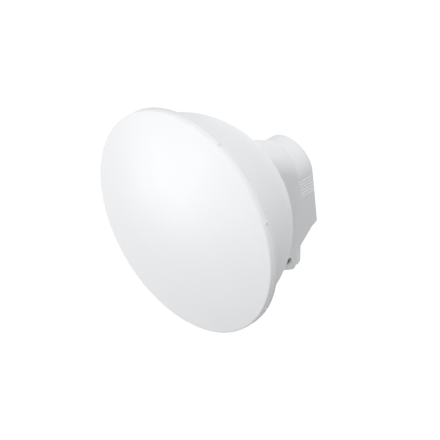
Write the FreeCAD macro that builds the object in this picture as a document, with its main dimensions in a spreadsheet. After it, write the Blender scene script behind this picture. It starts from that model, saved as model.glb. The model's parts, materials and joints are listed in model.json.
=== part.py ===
"""Outdoor wireless bridge: a shrouded dish antenna with its radio behind it, on a tilt bracket.

Every sub-part is drawn about the reflector's axis: the rim's front plane is Y = 0, +Y runs
backwards along the axis, +Z is up.  Each one is then placed so that the origin of the finished
part is the centre of the tilt bracket's bolt pattern, on the face that meets the pole bracket.
"""
import FreeCAD, Part
import math
import os
import re

import Sketcher

Vector = FreeCAD.Vector

SIZES = (
    # rim and radome
    ("rim_radius", 189.0, "outer radius of the rim"),
    ("radome_rise", 25.0, "height of the radome's dome over the rim plane"),
    ("radome_wall", 2.5, "wall of the radome"),
    ("radome_skirt", 12.0, "depth of the radome's skirt"),
    ("radome_edge", 3.0, "rounding between dome and skirt"),
    ("seam_gap", 0.3, "gap where two mouldings meet"),
    ("flange_wall", 3.0, "thickness of the bowl's rim flange"),
    ("spigot_wall", 4.0, "wall of the ring that the radome slips over"),
    ("spigot_front", 4.0, "front face of that ring, behind the rim plane"),
    ("gasket_height", 1.6, "height of the rim gasket"),
    ("rim_screw_y", 8.0, "rim screws, behind the rim plane"),
    # bowl
    ("rim_step", 14.0, "the bowl's outer surface at the rim plane is this far inside the rim"),
    ("bowl_depth", 167.0, "depth of the bowl's outer surface on the axis"),
    ("bowl_wall", 3.0, "wall of the bowl"),
    ("hub_inset", 11.0, "the hub's rear face stands forward of the bowl's full depth by this"),
    ("hub_wall", 6.0, "thickness of the hub"),
    ("lining_wall", 6.0, "thickness of the absorber lining"),
    ("lining_front", 18.0, "front edge of the lining"),
    ("lining_gap", 6.2, "room between the lining and the reflector's flange"),
    # reflector and feed
    ("reflector_wall", 1.2, "thickness of the reflector sheet"),
    ("reflector_gap", 1.3, "gap between the reflector's flange and the bowl"),
    ("reflector_flange", 8.5, "width of the reflector's flat flange"),
    ("reflector_flat", 34.0, "radius of the flat at the vertex"),
    ("ledge_front", 69.4, "front face of the ledge that carries the reflector"),
    ("ledge_wall", 4.0, "thickness of that ledge"),
    ("reflector_screw_count", 8, "screws round the reflector"),
    ("tube_radius", 19.0, "outer radius of the feed tube"),
    ("tube_wall", 2.0, "wall of the feed tube"),
    ("tube_reach", 36.8, "length of the feed tube in front of the reflector's vertex"),
    ("feed_flange_radius", 38.0, "radius of the feed tube's flange"),
    ("feed_flange_wall", 4.0, "thickness of that flange"),
    ("cone_length", 18.0, "length of the dielectric cone"),
    ("cone_plug", 14.0, "length of the cone's plug inside the tube"),
    ("cone_radius", 27.0, "front radius of the cone"),
    ("subreflector_wall", 3.0, "edge thickness of the subreflector"),
    ("housing_side", 60.0, "side of the square waveguide housing"),
    ("housing_length", 34.0, "length of the waveguide housing"),
    ("housing_cover_wall", 3.0, "thickness of the housing's rear cover"),
    ("feed_screw_offset", 23.5, "feed screws, from the axis along X and Z"),
    ("bushing_length", 3.6, "length of a probe's bushing"),
    ("launcher_radius", 3.2, "radius of a coaxial launcher"),
    # mounting frame
    ("neck_front_radius", 80.5, "radius of the flared neck at its front edge"),
    ("neck_ease", 4.0, "the neck's rear radius is larger than half its width by this"),
    ("neck_lap", 6.5, "the neck laps over the bowl by this, in front of the hub"),
    ("neck_length", 52.5, "from the hub to the frame's rear face"),
    ("neck_wall", 3.5, "wall of the neck"),
    ("neck_flange_wall", 6.0, "thickness of the neck's flange"),
    ("insert_radius", 3.6, "seats of the brass inserts in the neck's flange"),
    ("insert_edge", 2.2, "material round those seats"),
    ("frame_screw_count", 6, "screws that hold the frame to the hub"),
    ("frame_plate", 6.0, "thickness of the frame's rear plate"),
    ("frame_half_width", 50.0, "half width of the frame, also the radius of its arch"),
    ("frame_wall", 3.0, "side wall of the frame"),
    ("floor_drop", 20.0, "the rear plate ends below the radio by this"),
    ("wall_drop", 21.0, "the side walls end below the pivot by this"),
    ("toe_inset", 30.5, "the bottom edge turns up in front of the rear face by this"),
    ("toe_rise", 9.5, "height of that turn over the bottom"),
    ("foot_length", 74.0, "length of the rising lower edge in front of that turn"),
    ("foot_rise", 22.0, "rise of that edge"),
    ("frame_corner", 6.0, "radius of the lower rear corner"),
    ("arch_height", 2.4, "centre of the arches of frame, radio and cover"),
    ("opening_inset", 8.0, "the rear plate's opening is this much smaller than the radio"),
    # pivot and tilt bracket
    ("pivot_inset", 17.5, "tilt pivot, in front of the frame's rear face"),
    ("pivot_drop", 32.0, "tilt pivot, below the frame's rear plate"),
    ("pivot_radius", 3.0, "radius of the pivot bolts"),
    ("running_gap", 0.05, "radial gap of a bolt in its bore"),
    ("pivot_boss_radius", 8.0, "boss round the pivot, outside the wall"),
    ("pivot_boss_height", 0.8, "height of that boss over the wall"),
    ("pivot_seat", 2.5, "material under the bolt head"),
    ("recess_gap", 1.2, "gap round the bolt head in its recess"),
    ("head_radius", 5.0, "radius of the pivot bolt's head"),
    ("head_height", 2.7, "height of the pivot bolt's head"),
    ("sleeve_wall", 1.5, "wall of the steel sleeve in the pivot bore"),
    ("washer_radius", 6.2, "radius of the pivot washers"),
    ("washer_wall", 1.2, "thickness of the pivot washers"),
    ("nut_across", 10.0, "pivot nuts, across their flats"),
    ("nut_height", 5.0, "height of the pivot nuts"),
    ("bolt_overhang", 1.6, "the pivot bolts stand out of their nuts by this"),
    ("bracket_inset", 6.0, "the tilt bracket is narrower than the frame by this, each side"),
    ("bracket_gap", 8.5, "the bracket's web stands behind the frame's rear face by this"),
    ("bracket_wall", 8.5, "thickness of the bracket's web"),
    ("bracket_height", 45.0, "height of the web"),
    ("bracket_chamfer", 5.0, "chamfer along the web's lower rear edge"),
    ("ear_wall", 4.0, "thickness of the bracket's ears"),
    ("ear_radius", 12.0, "radius of the ears' noses"),
    ("ear_root", 3.0, "ears stand back from the web's top and bottom by this"),
    ("rib_wall", 3.0, "thickness of the rib between the ears"),
    ("rib_depth", 9.0, "depth of that rib"),
    ("mount_drop", 0.5, "centre of the bolt pattern, below the pivot"),
    ("mount_spacing_x", 60.0, "bolt pattern, across"),
    ("mount_spacing_z", 22.0, "bolt pattern, up"),
    ("mount_hole_radius", 3.3, "holes for M6 bolts"),
    # radio
    ("tray_base", 3.3, "thickness of the tray's base"),
    ("tray_depth", 22.0, "depth of the tray"),
    ("tray_wall", 2.5, "walls of tray and lid"),
    ("radio_length", 94.4, "from the centre of the arches to the bottom of the radio"),
    ("rail_gap", 0.4, "gap between the rails and the cover"),
    ("rail_height", 3.1, "the rails stand out of the radio housing by this"),
    ("rail_wall", 2.0, "thickness of a rail"),
    ("seal_height", 1.0, "radio seal between tray and lid"),
    ("lid_depth", 12.5, "depth of the lid over its fins"),
    ("lid_plate", 3.0, "thickness of the lid's plate"),
    ("fin_depth", 6.5, "depth of the cooling fins"),
    ("fin_pitch", 6.4, "pitch of the cooling fins"),
    ("fin_gap", 4.4, "gap between two fins"),
    ("fin_gap_count", 13, "gaps between the fins"),
    ("radio_boss_radius", 4.0, "screw bosses of tray and lid"),
    ("board_wall", 1.6, "thickness of the main board"),
    ("board_inset", 10.0, "front face of the main board, behind the frame's rear face"),
    ("board_margin", 10.5, "the main board is narrower than the radio by this, each side"),
    ("jack_width", 16.0, "Ethernet jack, across"),
    ("jack_depth", 13.4, "Ethernet jack, off the board"),
    ("jack_height", 21.3, "Ethernet jack, along the cable"),
    ("jack_x", -11.0, "Ethernet jack, off the centre"),
    ("socket_width", 12.0, "socket, across"),
    ("socket_depth", 7.2, "socket, off the board"),
    ("button_inset", 8.0, "reset button, beside the first status light"),
    ("button_radius", 2.2, "radius of the reset button"),
    ("button_travel", 0.8, "travel of the reset button"),
    ("vent_side", 16.0, "breather, from the side of the radio"),
    ("light_side", 23.0, "first status light, from the side of the radio"),
    ("light_pitch", 3.6, "pitch of the status lights"),
    ("light_count", 4, "status lights"),
    ("port_gap", 4.0, "reset button and status lights, behind the main board"),
    ("vent_inset", 7.5, "breather, behind the frame's rear face"),
    ("vent_radius", 3.0, "radius of the breather's plug"),
    ("tray_screw_inset", 7.0, "tray screws, from the side"),
    ("tray_screw_drop", 17.4, "upper tray screws, below the centre of the arch"),
    ("tray_screw_rise", 26.0, "lower tray screws, over the radio's bottom"),
    ("lid_screw_inset", 5.0, "lid screws, from the side"),
    ("lid_screw_low", 6.0, "lower lid screws, over the radio's bottom"),
    ("lid_screw_mid", 51.0, "middle lid screws, over the radio's bottom"),
    ("board_screw_inset", 4.5, "board screws, from the board's side"),
    ("board_screw_rise", 14.0, "lower board screws, over the radio's bottom"),
    ("chip_height", 1.15, "height of the chips"),
    ("can_height", 4.0, "height of the shield cans"),
    ("pad_height", 1.4, "thickness of the thermal pad"),
    ("transformer_height", 6.0, "height of the line transformer"),
    ("capacitor_radius", 4.0, "radius of the capacitors"),
    ("capacitor_height", 9.0, "height of the capacitors"),
    ("solder_gap", 0.05, "gap between a component and the board"),
    # rear cover
    ("cover_gap", 0.6, "gap between the frame and the rear cover"),
    ("cover_inset", 1.0, "the cover is narrower than the frame by this, each side"),
    ("cover_wall", 2.5, "wall of the cover"),
    ("cover_depth_top", 34.9, "depth of the cover at the top of its arch"),
    ("cover_depth_low", 54.9, "depth of the cover at its lower rear corner"),
    ("cover_overhang", 18.5, "the cover's lower front corner, below the rear plate"),
    ("cover_tip_length", 8.4, "length of the level edge at that corner"),
    ("cover_knee_depth", 37.9, "the lower edge bends at this depth of the cover"),
    ("cover_knee_rise", 28.5, "height of that bend over the front corner"),
    ("cover_low_rise", 35.5, "height of the lower rear corner over the front corner"),
    ("cover_round", 9.5, "rounding of the cover's rear edges"),
    ("fin_room", 1.8, "room between the cooling fins and the cover"),
    ("groove_count", 6, "grip grooves on each side"),
    ("groove_pitch", 6.1, "pitch of the grip grooves"),
    ("groove_top", 1.2, "upper edge of the first groove"),
    ("groove_upper", 0.8, "height of a groove's steep upper flank"),
    ("groove_lower", 3.4, "height of a groove's broad lower flank"),
    ("groove_depth", 1.5, "depth of a grip groove"),
    ("groove_start", 3.3, "plain margin in front of the first groove"),
    ("groove_step", 1.7, "each groove starts behind the one above it by this"),
    # fasteners
    ("screw_shank", 1.25, "radius of the small screws"),
    ("screw_head", 2.6, "radius of their heads"),
    ("screw_head_height", 1.8, "height of their heads"),
    ("bolt_shank", 2.0, "radius of the large screws"),
    ("bolt_head", 3.6, "radius of their heads"),
    ("bolt_head_height", 3.0, "height of their heads"),
    ("pilot_gap", 0.05, "radial gap of a screw in its thread"),
    ("screw_gap", 0.3, "radial gap of a screw in its clearance hole"),
)
ALIASES = {alias for alias, size, note in SIZES}

# places that follow from the sizes, in the order in which the parts stand on each other
PLACES = {
    "bowl_radius": "rim_radius - rim_step",
    "hub_rear": "bowl_depth - hub_inset",
    "vertex": "hub_rear - hub_wall - reflector_wall",
    "reflector_rim": "ledge_front - reflector_wall",
    "lining_rear": "reflector_rim - lining_gap",
    "tube_front": "vertex - tube_reach",
    "probe_radius": "tube_radius - tube_wall + bushing_length + 0.2 + launcher_radius",
    "neck_front": "hub_rear - neck_lap",
    "neck_rear_radius": "frame_half_width + neck_ease",
    "neck_round": "frame_half_width * 0.6",
    "frame_screw_radius": "(frame_half_width - insert_edge - insert_radius) / cos(30 deg)",
    "neck_flange_radius": "frame_screw_radius - insert_radius - insert_edge",
    "frame_rear": "hub_rear + neck_length",
    "plate_front": "frame_rear - frame_plate",
    "cover_half_width": "frame_half_width - cover_inset",
    "rail_half_width": "cover_half_width - cover_wall - rail_gap",
    "tray_half_width": "rail_half_width - rail_height",
    "board_half_width": "tray_half_width - board_margin",
    "bracket_half_width": "frame_half_width - bracket_inset",
    "frame_opening": "tray_half_width - opening_inset",
    "radio_bottom": "arch_height - radio_length",
    "frame_floor": "radio_bottom - floor_drop",
    "pivot_y": "frame_rear - pivot_inset",
    "pivot_z": "frame_floor - pivot_drop",
    "frame_bottom": "pivot_z - wall_drop",
    "frame_toe_y": "frame_rear - toe_inset",
    "frame_toe_z": "frame_bottom + toe_rise",
    "mount_z": "pivot_z - mount_drop",
    "bracket_front": "frame_rear + bracket_gap",
    "bracket_top": "mount_z + bracket_height / 2",
    "bracket_bottom": "mount_z - bracket_height / 2",
    "board_front": "frame_rear + board_inset",
    "board_rear": "board_front + board_wall",
    "port_y": "board_rear + port_gap",
    "vent_x": "vent_side - tray_half_width",
    "vent_y": "frame_rear + vent_inset",
    "light_x": "tray_half_width - light_side",
    "button_x": "light_x - button_inset",
    "cover_front": "frame_rear + cover_gap",
    "cover_rear_top": "cover_front + cover_depth_top",
    "cover_rear_low": "cover_front + cover_depth_low",
    "cover_tip_z": "frame_floor - cover_overhang",
    "cover_tip_y": "cover_front + cover_tip_length",
    "cover_knee_y": "cover_front + cover_knee_depth",
    "cover_knee_z": "cover_tip_z + cover_knee_rise",
    "cover_low_z": "cover_tip_z + cover_low_rise",
    "screw_hole": "screw_shank + screw_gap",
    "screw_pilot": "screw_shank + pilot_gap",
    "bolt_hole": "bolt_shank + screw_gap",
    "bolt_pilot": "bolt_shank + pilot_gap",
}

doc = FreeCAD.newDocument("WirelessBridge")
sheet = doc.addObject("Spreadsheet::Sheet", "Dims")
for row, (alias, size, note) in enumerate(SIZES, start=1):
    sheet.set("A%d" % row, alias)
    sheet.set("B%d" % row, str(size))
    sheet.set("C%d" % row, note)
    sheet.setAlias("B%d" % row, alias)
doc.recompute()

NODES = []


# ---------------------------------------------------------------- helpers

def formula(text):
    """An expression on the sheet's cells, written with the bare aliases and places."""
    def cell(match):
        word = match.group()
        if word in PLACES:
            return "(%s)" % formula(PLACES[word])
        return "Dims." + word if word in ALIASES else word
    return re.sub(r"[a-z]\w*", cell, str(text))


def size(text):
    """The present value of such an expression."""
    return float(sheet.evalExpression(formula(text)))


def node(item, name):
    """Names a finished sub-part and moves it from the reflector's axes to the part's origin."""
    item.Label = name
    item.setExpression("Placement.Base.y", formula("-(bracket_front + bracket_wall)"))
    item.setExpression("Placement.Base.z", formula("-mount_z"))
    NODES.append(item)
    return item


def body(name):
    return doc.addObject("PartDesign::Body", name + "_body")


def new_sketch(owner, axis, start="0"):
    """A sketch square to the named axis, at the given place along it."""
    role = {"X": "YZ_Plane", "Y": "XZ_Plane", "Z": "XY_Plane"}[axis]
    sketch = owner.newObject("Sketcher::SketchObject", owner.Name + "_sketch")
    plane = [item for item in owner.Origin.OriginFeatures if item.Role == role][0]
    sketch.AttachmentSupport = (plane, "")
    sketch.MapMode = "FlatFace"
    sign = "-" if axis == "Y" else ""
    sketch.setExpression("AttachmentOffset.Base.z", formula("%s(%s)" % (sign, start)))
    return sketch


def fix(sketch, kind, text, *where):
    """A dimension of a sketch, bound to the sheet."""
    number = sketch.addConstraint(Sketcher.Constraint(kind, *where, size(text)))
    sketch.setExpression("Constraints[%d]" % number, formula(text))


def polygon(*points):
    """Draws a closed outline through points given as pairs of expressions."""
    def draw(sketch):
        first = sketch.GeometryCount
        places = [Vector(size(across), size(up), 0) for across, up in points]
        count = len(places)
        for index in range(count):
            sketch.addGeometry(Part.LineSegment(places[index], places[(index + 1) % count]))
        for index in range(count):
            following = first + (index + 1) % count
            sketch.addConstraint(Sketcher.Constraint("Coincident", first + index, 2, following, 1))
            fix(sketch, "DistanceX", points[index][0], -1, 1, first + index, 1)
            fix(sketch, "DistanceY", points[index][1], -1, 1, first + index, 1)
    return draw


def rectangle(left, low, right, high):
    return polygon((left, low), (right, low), (right, high), (left, high))


def circle(radius, across="0", up="0"):
    def draw(sketch):
        centre = Vector(size(across), size(up), 0)
        index = sketch.addGeometry(Part.Circle(centre, Vector(0, 0, 1), size(radius)))
        fix(sketch, "Radius", radius, index)
        fix(sketch, "DistanceX", across, -1, 1, index, 3)
        fix(sketch, "DistanceY", up, -1, 1, index, 3)
    return draw


def arch(radius, bottom):
    """A round-topped outline, centred on arch_height, with a flat bottom."""
    def draw(sketch):
        reach = size(radius)
        height = size("arch_height")
        low = size(bottom)
        first = sketch.GeometryCount
        whole = Part.Circle(Vector(0, height, 0), Vector(0, 0, 1), reach)
        sketch.addGeometry(Part.ArcOfCircle(whole, 0, math.pi))
        corners = ((-reach, height), (-reach, low), (reach, low), (reach, height))
        for start, end in zip(corners, corners[1:]):
            sketch.addGeometry(Part.LineSegment(Vector(*start, 0), Vector(*end, 0)))
        add = sketch.addConstraint
        add(Sketcher.Constraint("Tangent", first, 2, first + 1, 1))
        add(Sketcher.Constraint("Coincident", first + 1, 2, first + 2, 1))
        add(Sketcher.Constraint("Coincident", first + 2, 2, first + 3, 1))
        add(Sketcher.Constraint("Tangent", first + 3, 2, first, 1))
        add(Sketcher.Constraint("Vertical", first + 1))
        add(Sketcher.Constraint("Horizontal", first + 2))
        add(Sketcher.Constraint("Vertical", first + 3))
        fix(sketch, "Radius", radius, first)
        fix(sketch, "DistanceX", "0", -1, 1, first, 3)
        fix(sketch, "DistanceY", "arch_height", -1, 1, first, 3)
        fix(sketch, "DistanceY", bottom, -1, 1, first + 2, 1)
    return draw


def together(*drawings):
    def draw(sketch):
        for drawing in drawings:
            drawing(sketch)
    return draw


def pad(owner, axis, drawing, start, depth):
    """Adds the drawn outline, from its start along the axis."""
    sketch = new_sketch(owner, axis, start)
    drawing(sketch)
    feature = owner.newObject("PartDesign::Pad", owner.Name + "_pad")
    feature.Profile = sketch
    feature.Reversed = axis == "Y"
    feature.setExpression("Length", formula(depth))
    sketch.Visibility = False
    return feature


def pocket(owner, axis, drawing, start, depth):
    """Cuts the drawn outline, from its start along the axis."""
    sketch = new_sketch(owner, axis, start)
    drawing(sketch)
    feature = owner.newObject("PartDesign::Pocket", owner.Name + "_pocket")
    feature.Profile = sketch
    feature.Reversed = axis != "Y"
    feature.setExpression("Length", formula(depth))
    return feature


def cut_across(owner, drawing, half_width):
    """Cuts a side outline (Y across, Z up) through the width of the body."""
    return pocket(owner, "X", drawing, "-(%s)" % half_width, "2 * (%s)" % half_width)


def turned(owner, *points):
    """Turns an outline of (radius, Y) points about the reflector axis."""
    sketch = new_sketch(owner, "Z")
    polygon(*points)(sketch)
    feature = owner.newObject("PartDesign::Revolution", owner.Name + "_turn")
    feature.Profile = sketch
    feature.ReferenceAxis = (sketch, ["V_Axis"])
    feature.Angle = 360
    return feature


def edges_where(feature, test):
    """Names of the edges whose ends and middle all pass the test."""
    doc.recompute()
    names = []
    for number, edge in enumerate(feature.Shape.Edges, start=1):
        middle = edge.valueAt((edge.FirstParameter + edge.LastParameter) / 2)
        points = [vertex.Point for vertex in edge.Vertexes] + [middle]
        if all(test(point) for point in points):
            names.append("Edge%d" % number)
    return names


def round_edges(owner, feature, radius, test, kind="Fillet"):
    rounding = owner.newObject("PartDesign::" + kind, owner.Name + "_" + kind.lower())
    rounding.Base = (feature, edges_where(feature, test))
    rounding.setExpression("Radius" if kind == "Fillet" else "Size", formula(radius))
    return rounding


def spread(owner, feature, count, axis, pitch):
    """Repeats a feature along a sketch axis."""
    pattern = owner.newObject("PartDesign::LinearPattern", owner.Name + "_row")
    pattern.Originals = [feature]
    pattern.Direction = (feature.Profile[0], [axis])
    pattern.setExpression("Length", formula("(%s) * (%s - 1)" % (pitch, count)))
    pattern.setExpression("Occurrences", formula(count))
    owner.Tip = pattern
    return pattern


def mirror(owner, features):
    """Repeats features on the other side of the part's middle plane."""
    pattern = owner.newObject("PartDesign::Mirrored", owner.Name + "_mirror")
    plane = [item for item in owner.Origin.OriginFeatures if item.Role == "YZ_Plane"][0]
    pattern.Originals = features
    pattern.MirrorPlane = (plane, [""])
    owner.Tip = pattern
    return pattern


def shaped(name, shape):
    """A sub-part whose shape is computed, where neither sketches nor primitives fit."""
    item = doc.addObject("Part::Feature", name + "_shape")
    item.Shape = shape
    return item


def cut(base, *tools):
    item = doc.addObject("Part::Cut", base.Name + "_cut")
    item.Base = base
    if len(tools) == 1:
        item.Tool = tools[0]
    else:
        group = doc.addObject("Part::MultiFuse", base.Name + "_tools")
        group.Shapes = list(tools)
        item.Tool = group
    return item


def fuse(*shapes):
    item = doc.addObject("Part::MultiFuse", shapes[0].Name + "_fuse")
    item.Shapes = list(shapes)
    item.Refine = True
    return item


def copies(shape, places):
    """Copies of one shape at several placements, as a compound of separate solids."""
    made = []
    for place in places:
        item = shape.copy()
        item.Placement = place.multiply(shape.Placement)
        made.append(item)
    return Part.makeCompound(made)


def turns(angles):
    """Placements that turn about the reflector axis, from +X towards +Z."""
    return [FreeCAD.Placement(Vector(), FreeCAD.Rotation(Vector(0, 1, 0), -angle))
            for angle in angles]


def around(count, first=0.0):
    """Placements that turn about the reflector axis, evenly spaced."""
    return turns([first + 360.0 / count * index for index in range(int(count))])


def at(points):
    """Placements at (x, z) points, given as expressions, of a plane square to the axis."""
    return [FreeCAD.Placement(Vector(size(x), 0, size(z)), FreeCAD.Rotation()) for x, z in points]


def pairs(across, *heights):
    """Points on both sides of the middle plane, at each of the heights."""
    return [(sign + "(%s)" % across, up) for up in heights for sign in ("-", "")]


def screw(shank, length, head, head_height):
    """A socket screw with a bevelled head, along +Y, seated at Y = 0, head on the -Y side."""
    bevel = head_height * 0.35
    socket = head * 0.45
    body_part = Part.makeCylinder(shank, length, Vector(), Vector(0, 1, 0))
    cap = Part.makeCylinder(head, head_height, Vector(), Vector(0, -1, 0))
    rim = [edge for edge in cap.Edges if edge.BoundBox.YMax < -head_height * 0.9]
    cap = cap.makeChamfer(bevel, rim)
    corners = [Vector(socket * math.cos(math.radians(60 * k)), -head_height,
                      socket * math.sin(math.radians(60 * k))) for k in range(7)]
    recess = Part.Face(Part.makePolygon(corners)).extrude(Vector(0, head_height * 0.6, 0))
    return cap.cut(recess).fuse(body_part).removeSplitter()


def small_screw(length):
    return screw(size("screw_shank"), length, size("screw_head"), size("screw_head_height"))


def large_screw(length):
    return screw(size("bolt_shank"), length, size("bolt_head"), size("bolt_head_height"))


def flipped(shape):
    """The same shape turned to point along -Y."""
    item = shape.copy()
    item.Placement = FreeCAD.Placement(Vector(), FreeCAD.Rotation(Vector(0, 0, 1), 180))
    return item


def curve(points):
    """A smooth edge through computed points."""
    spline = Part.BSplineCurve()
    spline.interpolate(points)
    return spline.toShape()


def bowl_radius_at(y, inset=0.0):
    """Radius of the bowl's spheroid, or of one inside it, at a place on the axis."""
    reach = size("bowl_radius") - inset
    depth = size("bowl_depth") - inset
    return reach * math.sqrt(max(0.0, 1 - (y / depth) ** 2))


def bowl_arc(y_from, y_to, inset=0.0):
    """The bowl's section between two places on the axis, as an arc of an ellipse."""
    reach = size("bowl_radius") - inset
    depth = size("bowl_depth") - inset
    # the parameter runs from the radius (0) to the axis (quarter turn)
    if reach >= depth:
        oval = Part.Ellipse(Vector(reach, 0, 0), Vector(0, depth, 0), Vector())
        start, end = math.asin(y_from / depth), math.asin(y_to / depth)
    else:
        oval = Part.Ellipse(Vector(0, depth, 0), Vector(-reach, 0, 0), Vector())
        start, end = math.asin(y_from / depth) - math.pi / 2, math.asin(y_to / depth) - math.pi / 2
    return Part.ArcOfEllipse(oval, min(start, end), max(start, end)).toShape()


def lines(points):
    return [Part.LineSegment(Vector(*a, 0), Vector(*b, 0)).toShape()
            for a, b in zip(points, points[1:])]


def revolve(edges):
    """Turns a closed section, drawn as (radius, Y), about the reflector axis."""
    section = Part.Face(Part.Wire(Part.sortEdges(edges)[0]))
    return section.revolve(Vector(), Vector(0, 1, 0), 360)


# ---------------------------------------------------------------- radome and bowl

def dome_arc(radius, rise, front):
    """Section of a shallow dome: from the axis at `front` to `radius`, `rise` further back."""
    sphere = (radius ** 2 + rise ** 2) / (2 * rise)
    half = math.asin(radius / sphere) / 2
    middle = Vector(sphere * math.sin(half), front + sphere * (1 - math.cos(half)), 0)
    return Part.Arc(Vector(0, front, 0), middle, Vector(radius, front + rise, 0)).toShape()


RIM_SCREW_ANGLES = (25.0, 67.5, 112.5, 155.0, 205.0, 247.5, 292.5, 335.0)


def make_radome():
    """Shallow domed front cover with a cylindrical skirt that slips over the bowl's spigot."""
    rim = size("rim_radius")
    wall = size("radome_wall")
    rise = size("radome_rise")
    edge = size("radome_edge")
    skirt = size("radome_skirt")
    corner = rim - edge
    outer = dome_arc(corner, rise, -rise)
    inner = dome_arc(rim - wall - edge / 2, rise, wall - rise)
    bend = Part.Arc(Vector(corner, 0, 0),
                    Vector(rim - edge * (1 - math.sin(math.radians(50))),
                           edge * (1 - math.cos(math.radians(50))), 0),
                    Vector(rim, edge, 0)).toShape()
    inside = (rim - wall - edge / 2, wall)
    path = lines([(rim, edge), (rim, skirt), (rim - wall, skirt), (rim - wall, wall + edge / 2),
                  inside])
    axis = lines([(0, wall - rise), (0, -rise)])
    dome = revolve([outer, bend, inner] + path + axis)
    hole = Part.makeCylinder(size("screw_hole"), wall + 2,
                             Vector(rim - wall - 1, size("rim_screw_y"), 0), Vector(1, 0, 0))
    holes = copies(hole, turns(RIM_SCREW_ANGLES))
    node(shaped("radome", dome.cut(holes)), "radome")


def make_bowl():
    """Deep spheroidal shroud with a spigot ring at the rim, a ledge and a flat hub."""
    rim = size("rim_radius")
    wall = size("bowl_wall")
    spigot = rim - size("radome_wall") - size("seam_gap")
    spigot_inner = spigot - size("spigot_wall")
    front = size("radome_skirt") + size("seam_gap")
    rear = front + size("flange_wall")
    hub_rear = size("hub_rear")
    hub_front = hub_rear - size("hub_wall")
    bore = size("tube_radius") + size("seam_gap")
    outer = bowl_arc(rear, hub_rear)
    inner = bowl_arc(front, hub_front, wall)
    rim_path = lines([(bowl_radius_at(front, wall), front), (spigot_inner, front),
                      (spigot_inner, size("spigot_front")), (spigot, size("spigot_front")),
                      (spigot, front), (rim, front), (rim, rear), (bowl_radius_at(rear), rear)])
    hub_path = lines([(bowl_radius_at(hub_rear), hub_rear), (bore, hub_rear), (bore, hub_front),
                      (bowl_radius_at(hub_front, wall), hub_front)])
    shell = revolve([outer, inner] + rim_path + hub_path)

    ledge_front = size("ledge_front")
    ledge_rear = ledge_front + size("ledge_wall")
    ledge_inner = reflector_reach() + 0.5
    ledge = revolve(lines([(ledge_inner, ledge_front),
                           (bowl_radius_at(ledge_front, wall / 2), ledge_front),
                           (bowl_radius_at(ledge_rear, wall / 2), ledge_rear),
                           (ledge_inner, ledge_rear), (ledge_inner, ledge_front)]))
    shell = shell.fuse(ledge)

    rim_hole = Part.makeCylinder(size("screw_pilot"), size("spigot_wall") + 2,
                                 Vector(spigot_inner - 1, size("rim_screw_y"), 0),
                                 Vector(1, 0, 0))
    cuts = [copies(rim_hole, turns(RIM_SCREW_ANGLES))]
    ledge_hole = Part.makeCylinder(size("screw_pilot"), size("ledge_wall") + 2,
                                   Vector(reflector_screw_circle(), ledge_front - 1, 0),
                                   Vector(0, 1, 0))
    cuts.append(copies(ledge_hole, around(size("reflector_screw_count"))))
    frame_hole = Part.makeCylinder(size("bolt_hole"), size("hub_wall") + 2,
                                   Vector(size("frame_screw_radius"), hub_front - 1, 0),
                                   Vector(0, 1, 0))
    cuts.append(copies(frame_hole, around(size("frame_screw_count"), 90.0)))
    feed_hole = Part.makeCylinder(size("bolt_pilot"), size("hub_wall") + 2,
                                  Vector(0, hub_front - 1, 0), Vector(0, 1, 0))
    cuts.append(copies(feed_hole, at(FEED_SCREWS)))
    node(shaped("bowl", shell.cut(cuts).removeSplitter()), "bowl_shell")


FEED_SCREWS = pairs("feed_screw_offset", "-feed_screw_offset", "feed_screw_offset")


def reflector_reach():
    """Radius of the reflecting surface, which fills the bowl at the ledge."""
    inside = bowl_radius_at(size("ledge_front"), size("bowl_wall"))
    return inside - size("reflector_gap") - size("reflector_flange")


def reflector_screw_circle():
    return reflector_reach() + size("reflector_flange") * 0.55


def make_reflector():
    """Spun aluminium paraboloid with a flat flange at its rim and a flat seat at its vertex."""
    wall = size("reflector_wall")
    reach = reflector_reach()
    flat = size("reflector_flat")
    vertex = size("vertex")
    rim = size("reflector_rim")
    focal_length = (reach ** 2 - flat ** 2) / (4 * (vertex - rim))
    steps = 12
    radii = [flat + (reach - flat) * index / steps for index in range(steps + 1)]
    section = [(r, vertex - (r ** 2 - flat ** 2) / (4 * focal_length)) for r in radii]
    front = curve([Vector(r, y, 0) for r, y in section])
    back = curve([Vector(r, y + wall, 0) for r, y in section])
    bore = size("tube_radius") + size("seam_gap")
    outer = reach + size("reflector_flange")
    seat = lines([(flat, vertex), (bore, vertex), (bore, vertex + wall), (flat, vertex + wall)])
    flange = lines([(reach, rim), (outer, rim), (outer, rim + wall), (reach, rim + wall)])
    sheet_metal = revolve([front, back] + seat + flange)
    hole = Part.makeCylinder(size("screw_hole"), wall + 2,
                             Vector(reflector_screw_circle(), rim - 1, 0), Vector(0, 1, 0))
    holes = copies(hole, around(size("reflector_screw_count")))
    feed_hole = Part.makeCylinder(size("bolt_hole"), wall + 2, Vector(0, vertex - 1, 0),
                                  Vector(0, 1, 0))
    feed_holes = copies(feed_hole, at(FEED_SCREWS))
    node(shaped("reflector_sheet", sheet_metal.cut([holes, feed_holes])), "reflector")


def make_lining():
    """Ring of absorber foam on the inside of the shroud."""
    gap = size("bowl_wall") + size("seam_gap") / 2
    inset = gap + size("lining_wall")
    front = size("lining_front")
    rear = size("lining_rear")
    ring = revolve([bowl_arc(front, rear, gap), bowl_arc(front, rear, inset)]
                   + lines([(bowl_radius_at(front, gap), front),
                            (bowl_radius_at(front, inset), front)])
                   + lines([(bowl_radius_at(rear, gap), rear),
                            (bowl_radius_at(rear, inset), rear)]))
    node(shaped("lining", ring), "absorber_ring")


def make_rim_gasket():
    """Flat sealing ring on the front face of the bowl's spigot."""
    item = body("radome_gasket")
    inner = "rim_radius - radome_wall - seam_gap - spigot_wall + 0.4"
    outer = "rim_radius - radome_wall - seam_gap - 2.2"
    front = "spigot_front - gasket_height"
    turned(item, (inner, front), (outer, front), (outer, "spigot_front"),
           (inner, "spigot_front"))
    node(item, "radome_gasket")


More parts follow.
